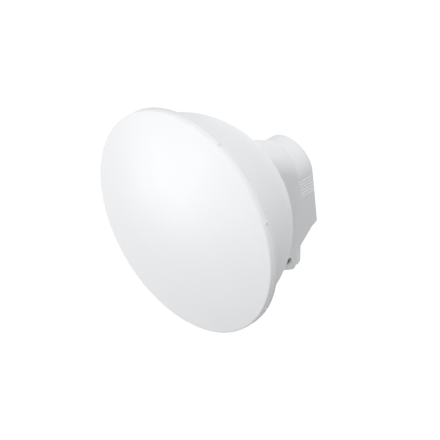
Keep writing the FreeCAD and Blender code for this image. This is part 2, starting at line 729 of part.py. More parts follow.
def make_rim_screws():
    one = small_screw(size("radome_wall + seam_gap + spigot_wall + 1"))
    one.Placement = FreeCAD.Placement(Vector(size("rim_radius"), size("rim_screw_y"), 0),
                                      FreeCAD.Rotation(Vector(0, 0, 1), 90))
    node(shaped("rim_screw", copies(one, turns(RIM_SCREW_ANGLES))), "radome_screws")


def make_reflector_screws():
    one = small_screw(size("reflector_wall + ledge_wall"))
    one.Placement = FreeCAD.Placement(
        Vector(reflector_screw_circle(), size("reflector_rim"), 0), FreeCAD.Rotation())
    node(shaped("reflector_screw", copies(one, around(size("reflector_screw_count")))),
         "reflector_screws")


# ---------------------------------------------------------------- feed and waveguide

def make_feed():
    """Circular waveguide tube with a rear flange, dielectric cone and subreflector."""
    tube = body("feed_tube")
    inner = "tube_radius - tube_wall"
    flange_rear = "hub_rear + feed_flange_wall"
    turned(tube, (inner, "tube_front"), ("tube_radius", "tube_front"),
           ("tube_radius", "hub_rear"), ("feed_flange_radius", "hub_rear"),
           ("feed_flange_radius", flange_rear), (inner, flange_rear))
    pocket(tube, "Y", circles("bolt_hole", FEED_SCREWS), "hub_rear - 1", "feed_flange_wall + 2")
    node(tube, "feed_tube")

    cone = body("feed_cone")
    plug = "tube_radius - tube_wall - 0.1"
    waist = "tube_front + cone_plug"
    mouth = "tube_front - 0.1"
    turned(cone, ("0", "tube_front - cone_length"), ("cone_radius", "tube_front - cone_length"),
           ("cone_radius", "tube_front - cone_length + 2"), ("tube_radius", mouth), (plug, mouth),
           (plug, waist), ("0", waist))
    node(cone, "feed_cone")

    disc = body("subreflector")
    front = "tube_front - cone_length - subreflector_wall"
    seat = "tube_front - cone_length"
    turned(disc, ("0", front + " - 2"), ("cone_radius * 0.5", front),
           ("cone_radius + 1.5", front), ("cone_radius + 1.5", seat + " + 2"),
           ("cone_radius + 0.1", seat + " + 2"), ("cone_radius + 0.1", seat), ("0", seat))
    node(disc, "subreflector")


def make_waveguide():
    """Cast housing behind the feed tube: round waveguide, two launcher ports and a rear cover."""
    front = "hub_rear + feed_flange_wall"
    half = "housing_side / 2"
    bolt_holes = circles("bolt_hole", FEED_SCREWS)
    bore = "tube_radius - tube_wall"

    housing = body("waveguide_housing")
    block = pad(housing, "Y", rectangle("-" + half, "-" + half, half, half), front,
                "housing_length")
    reach = size(half)
    round_edges(housing, block, "6",
                lambda p: abs(abs(p.x) - reach) < 0.01 and abs(abs(p.z) - reach) < 0.01)
    through = "housing_length + 2"
    pocket(housing, "Y", circle(bore), front + " - 1", through)
    pocket(housing, "Y", bolt_holes, front + " - 1", through)
    ports = together(circle("launcher_radius + 0.1", "0", "probe_radius"),
                     circle("launcher_radius + 0.1", "probe_radius", "0"))
    pocket(housing, "Y", ports, front + " + 10", "housing_length")
    # radial seats of the two probe bushings, one up and one across
    pocket(housing, "Z", circle("2.1", "0", PROBE_UP_Y), bore + " - 2",
           "probe_radius - tube_radius + tube_wall + 2 - launcher_radius + 0.5")
    pocket(housing, "X", circle("2.1", PROBE_ACROSS_Y, "0"), bore + " - 2",
           "probe_radius - tube_radius + tube_wall + 2 - launcher_radius + 0.5")
    node(housing, "waveguide_housing")

    cover = body("waveguide_cover")
    rear = front + " + housing_length"
    plate = pad(cover, "Y", rectangle("-" + half, "-" + half, half, half), rear,
                "housing_cover_wall")
    round_edges(cover, plate, "6",
                lambda p: abs(abs(p.x) - reach) < 0.01 and abs(abs(p.z) - reach) < 0.01)
    pad(cover, "Y", circle(bore + " - 0.1"), rear + " - 4", "4 + housing_cover_wall / 2")
    pocket(cover, "Y", together(bolt_holes, ports), rear + " - 1", "housing_cover_wall + 2")
    node(cover, "waveguide_cover")

    seat = size(rear + " + housing_cover_wall")
    bolt = flipped(large_screw(seat - size("hub_rear - hub_wall") - 1))
    bolt.Placement = FreeCAD.Placement(Vector(0, seat, 0), bolt.Placement.Rotation)
    node(shaped("feed_screw", copies(bolt, at(FEED_SCREWS))), "feed_screws")


PROBE_UP_Y = "hub_rear + feed_flange_wall + 16"
PROBE_ACROSS_Y = "hub_rear + feed_flange_wall + 25"


def make_probes():
    """Two probe pins in plastic bushings, and the coaxial launchers that feed them."""
    bore = size("tube_radius - tube_wall")
    reach = size("probe_radius - launcher_radius")
    pin_radius = 0.65
    tip = 8.0
    up = FreeCAD.Placement(Vector(0, size(PROBE_UP_Y), 0), FreeCAD.Rotation())
    across = FreeCAD.Placement(Vector(0, size(PROBE_ACROSS_Y), 0),
                               FreeCAD.Rotation(Vector(0, 1, 0), 90))
    pin = Part.makeCylinder(pin_radius, reach - tip - 0.1, Vector(0, 0, tip))
    node(shaped("probe_pin", copies(pin, [up, across])), "probe_pins")
    bush = Part.makeCylinder(2.05, size("bushing_length"), Vector(0, 0, bore))
    bush = bush.cut(Part.makeCylinder(pin_radius + 0.05, reach, Vector(0, 0, bore - 1)))
    node(shaped("probe_bushing", copies(bush, [up, across])), "probe_bushings")

    radius = size("launcher_radius")
    front = size("hub_rear + feed_flange_wall") + 10.2
    rear = size("board_front") - 0.1
    cover_rear = size("hub_rear + feed_flange_wall + housing_length + housing_cover_wall")
    along = Vector(0, 1, 0)
    launcher = Part.makeCylinder(radius, rear - front, Vector(0, front, 0), along)
    flange = Part.makeCylinder(radius + 1.8, 2.0, Vector(0, cover_rear, 0), along)
    launcher = launcher.fuse(flange).removeSplitter()
    axes = (("0", "probe_radius"), ("probe_radius", "0"))
    node(shaped("launcher", copies(launcher, at(axes))), "rf_launchers")


# ---------------------------------------------------------------- mounting frame

TRAY_SCREWS = pairs("tray_half_width - tray_screw_inset", "arch_height - tray_screw_drop",
                    "radio_bottom + tray_screw_rise")
NECK_SLOPE = "(neck_front_radius - neck_rear_radius) / (frame_rear - neck_front)"


def neck_radius_at(y):
    return "neck_front_radius - %s * (%s - neck_front)" % (NECK_SLOPE, y)


def slice_sides(form, half_width, rounding):
    """Cuts a turned form flat on both sides and rounds the upper edges of the cuts."""
    far = "neck_front_radius + 2"
    side = rectangle(half_width, "-(%s)" % far, far, far)
    other = rectangle("-(%s)" % far, "-(%s)" % far, "-(%s)" % half_width, far)
    sliced = pocket(form, "Y", together(side, other), "neck_front - 1",
                    "frame_rear - neck_front + 2")
    reach = size(half_width)
    round_edges(form, sliced, rounding, lambda p: abs(abs(p.x) - reach) < 0.01 and p.z > 5)


def make_frame():
    """Flared neck with flat sides, a rear plate and two walls that run down to the pivots."""
    frame = body("mount_frame")
    flange_front = "hub_rear + seam_gap"
    flange_rear = flange_front + " + neck_flange_wall"
    inner = "frame_half_width - frame_wall"
    front_y = "frame_toe_y - foot_length"
    front_z = "frame_toe_z + foot_rise"
    side = polygon(("frame_rear", "0"), ("frame_rear", "frame_bottom"),
                   ("frame_rear - frame_corner - 2", "frame_bottom"),
                   ("frame_toe_y", "frame_toe_z"), (front_y, front_z), (front_y, "0"))
    wall = pad(frame, "X", side, inner, "frame_wall")
    boss_inner = "bracket_half_width + seam_gap"
    boss = pad(frame, "X", circle("pivot_boss_radius + 3", "pivot_y", "pivot_z"), boss_inner,
               inner + " - (" + boss_inner + ") + 0.5")
    ring = pad(frame, "X", circle("pivot_boss_radius", "pivot_y", "pivot_z"), inner,
               "frame_wall + pivot_boss_height")
    recess = pocket(frame, "X", circle("head_radius + recess_gap", "pivot_y", "pivot_z"),
                    boss_inner + " + pivot_seat", "frame_half_width")
    bore = pocket(frame, "X", circle("pivot_radius + running_gap + sleeve_wall", "pivot_y",
                                     "pivot_z"), boss_inner + " - 1", "pivot_seat + 2")
    mirror(frame, [wall, boss, ring, recess, bore])

    turned(frame, ("0", "neck_front"), ("neck_front_radius", "neck_front"),
           ("neck_rear_radius", "frame_rear"), ("0", "frame_rear"))
    slice_sides(frame, "frame_half_width", "neck_round")
    pad(frame, "Y", arch("frame_half_width", "frame_floor"), "plate_front", "frame_plate")

    cavity = body("neck_cavity")
    turned(cavity, ("0", flange_rear), (neck_radius_at(flange_rear) + " - neck_wall", flange_rear),
           (neck_radius_at("plate_front") + " - neck_wall", "plate_front"), ("0", "plate_front"))
    slice_sides(cavity, inner, "neck_round - frame_wall")
    pad(cavity, "Y", circle("neck_flange_radius"), "neck_front", flange_rear + " - neck_front + 1")

    shelf = rectangle("-(%s + 0.5)" % inner, "bowl_depth * 0.6", inner + " + 0.5",
                      "plate_front + 0.5")
    pad(frame, "Z", shelf, "frame_floor", "frame_wall")
    tie = polygon(("frame_toe_y - 3", "frame_toe_z + 0.9"), (front_y, front_z),
                  (front_y, front_z + " + frame_wall"),
                  ("frame_toe_y - 3", "frame_toe_z + 0.9 + frame_wall"))
    pad(frame, "X", tie, "-(%s + 0.5)" % inner, "2 * (%s) + 1" % inner)
    last = pocket(frame, "Y", circle("frame_opening"), "plate_front - 1", "frame_plate + 2")
    rear = size("frame_rear")
    bottom = size("frame_bottom")
    round_edges(frame, last, "frame_corner",
                lambda p: abs(p.y - rear) < 0.01 and abs(p.z - bottom) < 0.01)
    pocket(frame, "Y", circles("screw_pilot", TRAY_SCREWS), "plate_front - 1", "frame_plate + 2")

    reach = size("hub_rear")
    tool_edges = [bowl_arc(0, reach, -size("seam_gap"))]
    tool_edges += lines([(bowl_radius_at(reach, -size("seam_gap")), reach), (0, reach), (0, 0),
                         (bowl_radius_at(0, -size("seam_gap")), 0)])
    bowl_space = shaped("bowl_space", revolve(tool_edges))
    seat = Part.makeCylinder(size("insert_radius"), size("neck_flange_wall") + 2,
                             Vector(size("frame_screw_radius"), reach - 0.5, 0), Vector(0, 1, 0))
    seats = shaped("insert_seats", copies(seat, around(size("frame_screw_count"), 90.0)))
    node(cut(cut(frame, cavity), bowl_space, seats), "mount_frame")


def make_frame_fasteners():
    """Screws from inside the bowl into brass inserts in the neck's flange."""
    hub_front = size("hub_rear - hub_wall")
    circle_radius = size("frame_screw_radius")
    count = size("frame_screw_count")
    along = Vector(0, 1, 0)
    front = size("hub_rear + seam_gap")
    length = size("neck_flange_wall")
    insert = Part.makeCylinder(size("insert_radius") - 0.05, length,
                               Vector(circle_radius, front, 0), along)
    insert = insert.cut(Part.makeCylinder(size("bolt_pilot"), length + 2,
                                          Vector(circle_radius, front - 1, 0), along))
    node(shaped("frame_insert", copies(insert, around(count, 90.0))), "frame_inserts")
    bolt = large_screw(front + length - hub_front)
    bolt.Placement = FreeCAD.Placement(Vector(circle_radius, hub_front, 0), FreeCAD.Rotation())
    node(shaped("frame_screw", copies(bolt, around(count, 90.0))), "frame_screws")


# ---------------------------------------------------------------- pivots and tilt bracket

def both_sides(shape):
    """One shape and its mirror image on the other side of the part."""
    return Part.makeCompound([shape, shape.mirror(Vector(), Vector(1, 0, 0))])


def make_pivots():
    pivot_y = size("pivot_y")
    pivot_z = size("pivot_z")
    inner = size("bracket_half_width + seam_gap")
    seat = inner + size("pivot_seat")
    shank = size("pivot_radius")
    inside = Vector(-1, 0, 0)

    sleeve_outer = shank + size("running_gap") + size("sleeve_wall") - 0.03
    start = Vector(inner, pivot_y, pivot_z)
    sleeve = Part.makeCylinder(sleeve_outer, size("pivot_seat"), start, Vector(1, 0, 0))
    bore = Part.makeCylinder(shank + size("running_gap"), size("pivot_seat") + 2,
                             start + Vector(-1, 0, 0), Vector(1, 0, 0))
    node(shaped("pivot_sleeve", both_sides(sleeve.cut(bore))), "pivot_sleeves")

    washer_wall = size("washer_wall")
    nut_height = size("nut_height")
    ear_inner = size("bracket_half_width - ear_wall")
    tip = ear_inner - washer_wall - nut_height - size("bolt_overhang")
    head_seat = seat + 0.1
    bolt = screw(shank, head_seat - tip, size("head_radius"), size("head_height"))
    bolt.Placement = FreeCAD.Placement(Vector(head_seat, pivot_y, pivot_z),
                                       FreeCAD.Rotation(Vector(0, 0, 1), 90))
    node(shaped("pivot_bolt", both_sides(bolt)), "pivot_bolts")

    place = Vector(ear_inner, pivot_y, pivot_z)
    washer = Part.makeCylinder(size("washer_radius"), washer_wall, place, inside)
    washer = washer.cut(Part.makeCylinder(shank + 0.2, washer_wall + 2,
                                          place + Vector(1, 0, 0), inside))
    node(shaped("pivot_washer", both_sides(washer)), "pivot_washers")

    across = size("nut_across") / 2 / math.cos(math.radians(30))
    nut_start = ear_inner - washer_wall
    corners = [Vector(nut_start, pivot_y + across * math.cos(math.radians(60 * k)),
                      pivot_z + across * math.sin(math.radians(60 * k))) for k in range(7)]
    nut = Part.Face(Part.makePolygon(corners)).extrude(Vector(-nut_height, 0, 0))
    nut = nut.cut(Part.makeCylinder(shank + 0.03, nut_height + 2,
                                    Vector(nut_start + 1, pivot_y, pivot_z), inside))
    node(shaped("pivot_nut", both_sides(nut)), "pivot_nuts")


def make_bracket():
    """Web with four bolt holes for the pole bracket, and two ears that carry the pivots."""
    bracket = body("tilt_bracket")
    half = "bracket_half_width"
    web = pad(bracket, "Y", rectangle("-" + half, "bracket_bottom", half, "bracket_top"),
              "bracket_front", "bracket_wall")
    rear = size("bracket_front + bracket_wall")
    bottom = size("bracket_bottom")
    round_edges(bracket, web, "bracket_chamfer",
                lambda p: abs(p.y - rear) < 0.01 and abs(p.z - bottom) < 0.01, "Chamfer")
    ear_inner = half + " - ear_wall"
    root = "bracket_front + 1"
    ear = polygon(("pivot_y", "pivot_z - ear_radius"), (root, "bracket_bottom + ear_root"),
                  (root, "bracket_top - ear_root"), ("pivot_y", "pivot_z + ear_radius"))
    arm = pad(bracket, "X", ear, ear_inner, "ear_wall")
    nose = pad(bracket, "X", circle("ear_radius", "pivot_y", "pivot_z"), ear_inner, "ear_wall")
    mirror(bracket, [arm, nose])
    rib = rectangle("-(%s) - 0.5" % ear_inner, "mount_z - rib_wall / 2", ear_inner + " + 0.5",
                    "mount_z + rib_wall / 2")
    pad(bracket, "Y", rib, "bracket_front - rib_depth", "rib_depth + 0.5")
    pocket(bracket, "X", circle("pivot_radius + running_gap", "pivot_y", "pivot_z"),
           "-(%s) - 1" % half, "2 * %s + 2" % half)
    holes = together(*[circle("mount_hole_radius", "%smount_spacing_x / 2" % a,
                              "mount_z %s mount_spacing_z / 2" % b)
                       for a in ("", "-") for b in ("+", "-")])
    pocket(bracket, "Y", holes, "bracket_front - 1", "bracket_wall + 2")
    node(bracket, "tilt_bracket")


# ---------------------------------------------------------------- radio

LID_SCREWS = (pairs("tray_half_width - lid_screw_inset", "radio_bottom + lid_screw_low",
                    "radio_bottom + lid_screw_mid")
              + pairs("tray_half_width * 0.6", "arch_height + tray_half_width * 0.64"))
BOARD_SCREWS = (pairs("board_half_width - board_screw_inset", "radio_bottom + board_screw_rise")
                + pairs("board_half_width * 0.68", "arch_height + board_half_width * 0.36"))
BASE_REAR = "frame_rear + tray_base"
PARTING = "frame_rear + tray_depth"
LID_FRONT = "frame_rear + tray_depth + seal_height"
CAVITY = "tray_half_width - tray_wall"
CAVITY_BOTTOM = "radio_bottom + tray_wall"


def circles(radius, points):
    return together(*[circle(radius, x, z) for x, z in points])


def jack_notch():
    """Outline of the opening round the Ethernet jack in the bottom walls."""
    return rectangle("jack_x - jack_width / 2 - 0.3", "radio_bottom - 1",
                     "jack_x + jack_width / 2 + 0.3", CAVITY_BOTTOM + " + 1")


def make_tray():
    """Die-cast front half of the radio housing, with the rails that carry the rear cover."""
    tray = body("radio_tray")
    pad(tray, "Y", arch("tray_half_width", "radio_bottom"), "frame_rear", "tray_depth")
    pocket(tray, "Y", arch(CAVITY, CAVITY_BOTTOM), BASE_REAR, "tray_depth")
    rail_low = "radio_bottom + 2"
    inner = "tray_half_width - 1"
    rails = together(rectangle(inner, rail_low, "rail_half_width", "0"),
                     rectangle("-rail_half_width", rail_low, "-(%s)" % inner, "0"))
    pad(tray, "Y", rails, BASE_REAR, "rail_wall")
    pad(tray, "Y", circles("radio_boss_radius", LID_SCREWS), BASE_REAR + " - 0.5",
        "tray_depth - tray_base + 0.5")
    pad(tray, "Y", circles("3", BOARD_SCREWS), BASE_REAR + " - 0.5",
        "board_front - (%s) + 0.5" % BASE_REAR)
    pocket(tray, "Y", circles("screw_pilot", LID_SCREWS), PARTING + " - 11", "12")
    pocket(tray, "Y", circles("screw_pilot", BOARD_SCREWS), "board_front - 5", "6")
    pocket(tray, "Y", circles("screw_hole", TRAY_SCREWS), "frame_rear - 1", "tray_base + 2")
    launchers = together(circle("launcher_radius + 0.15", "0", "probe_radius"),
                         circle("launcher_radius + 0.15", "probe_radius", "0"))
    pocket(tray, "Y", launchers, "frame_rear - 1", "tray_base + 2")
    pocket(tray, "Y", jack_notch(), "board_rear - 0.3", "tray_depth")
    ports = together(circle("button_radius + 0.15", "button_x", "port_y"),
                     circle("vent_radius + 0.1", "vent_x", "vent_y"),
                     *[circle("1.3", "light_x + %d * light_pitch" % k, "port_y")
                       for k in range(int(size("light_count")))])
    pocket(tray, "Z", ports, "radio_bottom - 1", "tray_wall + 2")
    node(tray, "radio_tray")


def make_lid():
    """Rear half of the radio housing: a plate with cooling fins and a pedestal for the processor."""
    lid = body("radio_lid")
    plate_rear = LID_FRONT + " + lid_depth - fin_depth"
    plate_front = plate_rear + " - lid_plate"
    pad(lid, "Y", arch("tray_half_width", "radio_bottom"), LID_FRONT, "lid_depth")
    pocket(lid, "Y", arch(CAVITY, CAVITY_BOTTOM), LID_FRONT + " - 1",
           "lid_depth - fin_depth - lid_plate + 1")
    half = "fin_gap / 2"
    first = "-fin_pitch * (fin_gap_count - 1) / 2"
    slot = rectangle(first + " - " + half, "radio_bottom - 1", first + " + " + half,
                     "arch_height + tray_half_width + 1")
    gap = pocket(lid, "Y", slot, plate_rear, "fin_depth + 1")
    spread(lid, gap, "fin_gap_count", "H_Axis", "fin_pitch")
    pad(lid, "Y", circles("radio_boss_radius", LID_SCREWS), LID_FRONT,
        "lid_depth - fin_depth - 0.5")
    pocket(lid, "Y", circles("screw_hole", LID_SCREWS), LID_FRONT + " - 1", "lid_depth + 2")
    pocket(lid, "Y", circles("screw_head + 2 * screw_gap", LID_SCREWS), plate_rear,
           "fin_depth + 1")
    pad(lid, "Y", rectangle(*CHIPS["processor"]), PEDESTAL,
        "%s - (%s) + 0.5" % (plate_front, PEDESTAL))
    pocket(lid, "Y", jack_notch(), LID_FRONT + " - 1",
           "board_rear + jack_depth + 0.4 - (%s) + 1" % LID_FRONT)
    # the fins' tips follow the leaning back of the cover
    top = "arch_height + tray_half_width + 1"
    low = "radio_bottom - 1"
    far = LID_FRONT + " + lid_depth + 40"
    inset = "cover_wall + fin_room"
    back = polygon((cover_rear_at(top, inset), top), (cover_rear_at(low, inset), low),
                   (far, low), (far, top))
    cut_across(lid, back, "tray_half_width + 1")
    node(lid, "radio_lid")

    seal = body("radio_seal")
    pad(seal, "Y", together(arch("tray_half_width - 0.3", "radio_bottom + 0.3"),
                            arch(CAVITY + " + 0.3", CAVITY_BOTTOM + " - 0.3")),
        PARTING, "seal_height")
    pocket(seal, "Y", jack_notch(), PARTING + " - 1", "seal_height + 2")
    node(seal, "radio_seal")


CHIPS = {
    "processor": ("-13", "radio_bottom + 52", "13", "radio_bottom + 78"),
    "memory_left": ("-27", "radio_bottom + 58", "-17", "radio_bottom + 72"),
    "memory_right": ("17", "radio_bottom + 58", "27", "radio_bottom + 72"),
}
CHIP_REAR = "board_rear + solder_gap + chip_height"
PAD_FRONT = CHIP_REAR + " + solder_gap"
PEDESTAL = PAD_FRONT + " + pad_height + solder_gap"
CAPACITORS = (("14", "radio_bottom + 34"), ("24", "radio_bottom + 34"),
              ("24", "radio_bottom + 44.5"))


def make_board():
    """Main board with its shield cans, chips, magnetics and capacitors."""
    board = body("main_board")
    pad(board, "Y", arch("board_half_width", "radio_bottom + 3"), "board_front", "board_wall")
    pocket(board, "Y", circles("screw_hole", BOARD_SCREWS), "board_front - 1", "board_wall + 2")
    node(board, "main_board")

    cans = body("shield_cans")
    outlines = together(rectangle("-18", "radio_bottom + 68", "16", "radio_bottom + 98"),
                        rectangle("-20", "radio_bottom + 30", "20", "radio_bottom + 60"))
    can_front = "board_front - solder_gap - can_height"
    blanks = pad(cans, "Y", outlines, can_front, "can_height")
    front = size(can_front)
    round_edges(cans, blanks, "0.8", lambda p: abs(p.y - front) < 0.01)
    node(cans, "shield_cans")

    chips = body("processor_chips")
    pad(chips, "Y", together(*[rectangle(*sides) for sides in CHIPS.values()]),
        "board_rear + solder_gap", "chip_height")
    node(chips, "processor_chips")

    thermal = body("thermal_pad")
    left, low, right, high = CHIPS["processor"]
    pad(thermal, "Y", rectangle(left + " + 1", low + " + 1", right + " - 1", high + " - 1"),
        PAD_FRONT, "pad_height")
    node(thermal, "thermal_pad")

    coil = body("line_transformer")
    outline = rectangle("jack_x - jack_width / 2", "radio_bottom + 24",
                        "jack_x + jack_width / 2", "radio_bottom + 36")
    block = pad(coil, "Y", outline, "board_rear + solder_gap", "transformer_height")
    rear = size("board_rear + solder_gap + transformer_height")
    round_edges(coil, block, "0.6", lambda p: abs(p.y - rear) < 0.01)
    node(coil, "line_transformer")

    caps = body("capacitors")
    sleeves = pad(caps, "Y", circles("capacitor_radius", CAPACITORS), "board_rear + solder_gap",
                  "capacitor_height")
    cap_rear = size("board_rear + solder_gap + capacitor_height")
    round_edges(caps, sleeves, "0.7", lambda p: abs(p.y - cap_rear) < 0.01)
    node(caps, "capacitors")


def make_radio_screws():
    lid_seat = LID_FRONT + " + lid_depth - fin_depth"
    rows = (("board_screws", BOARD_SCREWS, "board_rear", "board_wall + 4"),
            ("tray_screws", TRAY_SCREWS, BASE_REAR, "tray_base + frame_plate - 1"),
            ("lid_screws", LID_SCREWS, lid_seat, lid_seat + " - (%s) + 9" % PARTING))
    for name, places, seat, length in rows:
        bolt = flipped(small_screw(size(length)))
        bolt.Placement = FreeCAD.Placement(Vector(0, size(seat), 0), bolt.Placement.Rotation)
        node(shaped(name + "_set", copies(bolt, at(places))), name)


def make_jack():
    """Ethernet jack with its socket facing down, and its eight spring contacts."""
    jack = body("ethernet_jack")
    left = "jack_x - jack_width / 2"
    right = "jack_x + jack_width / 2"
    front = "board_rear + solder_gap"
    rear = front + " + jack_depth"
    pad(jack, "Z", rectangle(left, front, right, rear), "radio_bottom", "jack_height")
    centre = front + " + jack_depth / 2"
    pocket(jack, "Z", rectangle("jack_x - socket_width / 2", centre + " - socket_depth / 2",
                                "jack_x + socket_width / 2", centre + " + socket_depth / 2"),
           "radio_bottom - 1", "15")
    pocket(jack, "Z", rectangle("jack_x - 3.2", centre + " + socket_depth / 2 - 0.5",
                                "jack_x + 3.2", centre + " + socket_depth / 2 + 1.9"),
           "radio_bottom - 1", "13")
    node(jack, "ethernet_jack")

    low = size("radio_bottom")
    near = size(centre + " - socket_depth / 2")
    profile = [Vector(0, near, low + 14), Vector(0, near, low + 3), Vector(0, near + 0.35, low + 3),
               Vector(0, near + 2.6, low + 11), Vector(0, near + 2.6, low + 11.5),
               Vector(0, near + 0.45, low + 5), Vector(0, near + 0.45, low + 14),
               Vector(0, near, low + 14)]
    wire = Part.Face(Part.makePolygon(profile)).extrude(Vector(0.45, 0, 0))
    pitch = 1.02
    first = size("jack_x") - 3.5 * pitch - 0.225
    places = [FreeCAD.Placement(Vector(first + pitch * k, 0, 0), FreeCAD.Rotation())
              for k in range(8)]
    node(shaped("jack_contact", copies(wire, places)), "jack_contacts")


def make_controls():
    """Reset switch and button, status lights with their light guide, and the breather."""
    switch = body("reset_switch")
    front = "board_rear + solder_gap"
    plunger = "radio_bottom + 7"
    foot = plunger + " + 1"
    pad(switch, "Z", rectangle("button_x - 3", front, "button_x + 3", "port_y + 2.6"), foot, "6")
    pad(switch, "Z", circle("1", "button_x", "port_y"), plunger, "1.5")
    node(switch, "reset_switch")

    button = body("reset_button")
    pad(button, "Z", circle("button_radius", "button_x", "port_y"), "radio_bottom - 1.4",
        "tray_wall + 1.6")
    pad(button, "Z", circle("button_radius + 0.8", "button_x", "port_y"),
        CAVITY_BOTTOM + " + 0.1", "1")
    stem = CAVITY_BOTTOM + " + 1"
    pad(button, "Z", circle("1.2", "button_x", "port_y"), stem,
        "%s - button_travel - 0.1 - (%s)" % (plunger, stem))
    node(button, "reset_button")

    guide = body("light_guide")
    count = int(size("light_count"))
    rods = together(*[circle("1.2", "light_x + %d * light_pitch" % k, "port_y")
                      for k in range(count)])
    pad(guide, "Z", rods, "radio_bottom - 0.4", "tray_wall + 2")
    bar = rectangle("light_x - 1.7", "board_rear + 0.1",
                    "light_x + (light_count - 1) * light_pitch + 1.7", "port_y + 1.6")
    pad(guide, "Z", bar, CAVITY_BOTTOM + " + 1", "2")
    node(guide, "light_guide")

    lights = body("status_leds")
    chips = together(*[rectangle("light_x + %d * light_pitch - 0.8" % k, front,
                                 "light_x + %d * light_pitch + 0.8" % k,
                                 front + " + 2") for k in range(count)])
    pad(lights, "Z", chips, CAVITY_BOTTOM + " + 3.1", "1.4")
    node(lights, "status_leds")

    vent = body("vent_plug")
    place = ("vent_x", "vent_y")
    pad(vent, "Z", circle("vent_radius", *place), "radio_bottom - 0.5", "tray_wall + 0.5")
    cap = pad(vent, "Z", circle("vent_radius + 1.4", *place), "radio_bottom - 2", "1.95")
    low = size("radio_bottom - 2")
    round_edges(vent, cap, "0.8", lambda p: abs(p.z - low) < 0.01)
    node(vent, "vent_plug")


# ---------------------------------------------------------------- rear cover

LEAN = "(cover_rear_low - cover_rear_top) / (arch_height + cover_half_width - cover_low_z)"


def cover_rear_at(height, inset):
    """Rear face of the cover, or of a form inside it, at a height."""
    return "cover_rear_low - (%s) - %s * (%s - (cover_low_z))" % (inset, LEAN, height)


def cover_form(name, inset, front, bottom):
    """Arched block with a leaning back: the cover's outside, or the space inside it."""
    form = body(name)
    half = "cover_half_width - (%s)" % inset
    top = "arch_height + cover_half_width"
    low = "cover_tip_z - 40"
    depth = "cover_rear_low + 10 - (%s)" % front
    pad(form, "Y", arch(half, low), front, depth)
    far = "cover_rear_low + 12"
    under = low + " - 5"
    back = polygon((cover_rear_at(top, inset), top), (cover_rear_at(under, inset), under),
                   (far, under), (far, top))
    trimmed = cut_across(form, back, half + " + 1")
    if bottom:
        slope = "(cover_low_z - cover_knee_z) / (cover_rear_low - cover_knee_y)"
        below = polygon((front + " - 1", "cover_tip_z"), ("cover_tip_y", "cover_tip_z"),
                        ("cover_knee_y", "cover_knee_z"),
                        (far, "cover_low_z + %s * (%s - cover_rear_low)" % (slope, far)),
                        (far, under), (front + " - 1", under))
        trimmed = cut_across(form, below, half + " + 1")
    doc.recompute()
    lean = size(LEAN)
    foot = size("cover_low_z") + 2
    depth_at = size("cover_rear_low") - size(inset)
    base = size("cover_low_z")

    def on_back(point):
        return abs(point.y - (depth_at - lean * (point.z - base))) < 0.02

    names = [name for name in edges_where(trimmed, on_back)
             if edge_top(trimmed, name) > foot]
    rounding = form.newObject("PartDesign::Fillet", name + "_rounding")
    rounding.Base = (trimmed, names)
    rounding.setExpression("Radius", formula("cover_round - (%s)" % inset))
    return form


def edge_top(feature, name):
    return feature.Shape.getElement(name).BoundBox.ZMax


def cut_groove(form, index):
    """A grip groove on the +X side: steep above and broad below, open at the back."""
    upper = "groove_top - groove_pitch * " + index
    valley = upper + " - groove_upper"
    lower = valley + " - groove_lower"
    outside = "cover_half_width + groove_depth"
    outline = polygon((outside, upper + " + groove_upper"),
                      ("cover_half_width - groove_depth", valley),
                      (outside, lower + " - groove_lower"))
    start = "cover_front + groove_start + groove_step * " + index
    return pocket(form, "Y", outline, start, "cover_rear_low + 5 - (%s)" % start)


def make_cover():
    """Arched rear cover: leaning back, slanted open bottom, grip grooves and slide lips."""
    outer = cover_form("cover_outside", "0", "cover_front", True)
    grooves = [cut_groove(outer, "%d" % index) for index in range(int(size("groove_count")))]
    mirror(outer, grooves)
    inner = cover_form("cover_inside", "cover_wall", "cover_front - 5", False)
    shell = cut(outer, inner)

    lips = body("cover_lips")
    wall_inner = "cover_half_width - cover_wall + 0.2"
    lip_inner = "tray_half_width + seam_gap"
    low = "radio_bottom - 10"
    pad(lips, "Y", together(rectangle(lip_inner, low, wall_inner, "0"),
                            rectangle("-(%s)" % wall_inner, low, "-(%s)" % lip_inner, "0")),
        "cover_front + 0.2", BASE_REAR + " - seam_gap - cover_front - 0.2")
    stop = body("cover_stop")
    stop_low = "arch_height + tray_half_width + seam_gap"
    stop_top = "arch_height + cover_half_width - cover_wall + 0.5"
    pad(stop, "Y", rectangle("-1.5", stop_low, "1.5", stop_top), BASE_REAR + " + 2",
        "lid_depth + 12")
    node(fuse(shell, lips, stop), "rear_cover")


# ---------------------------------------------------------------- build and write

def build():
    make_radome()
    make_bowl()
    make_reflector()
    make_lining()
    make_rim_gasket()
    make_rim_screws()
    make_reflector_screws()
    make_feed()
    make_waveguide()
    make_probes()
    make_frame()
    make_frame_fasteners()
    make_pivots()
    make_bracket()
    make_tray()
    make_lid()
    make_board()
    make_radio_screws()
    make_jack()
    make_controls()
    make_cover()
    doc.recompute()


def write_nodes():
    """Checks every object, then writes each sub-part to its own file."""
    for item in doc.Objects:
        if "Invalid" in item.State or "Error" in item.State:
            raise RuntimeError("%s: %s" % (item.Name, item.State))
    for item in NODES:
        if item.Shape.isNull() or not item.Shape.isValid():
            raise RuntimeError("%s has no valid shape" % item.Label)
    os.makedirs("parts", exist_ok=True)
    for item in NODES:
        item.Shape.exportStep(os.path.join("parts", item.Label + ".step"))
        print("%-20s %2d solid(s) %10.1f mm3" % (item.Label, len(item.Shape.Solids),
                                                 item.Shape.Volume))


build()
write_nodes()
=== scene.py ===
"""Looks of the outdoor wireless bridge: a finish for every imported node, and a turned radome."""
import json
import math
from functools import partial

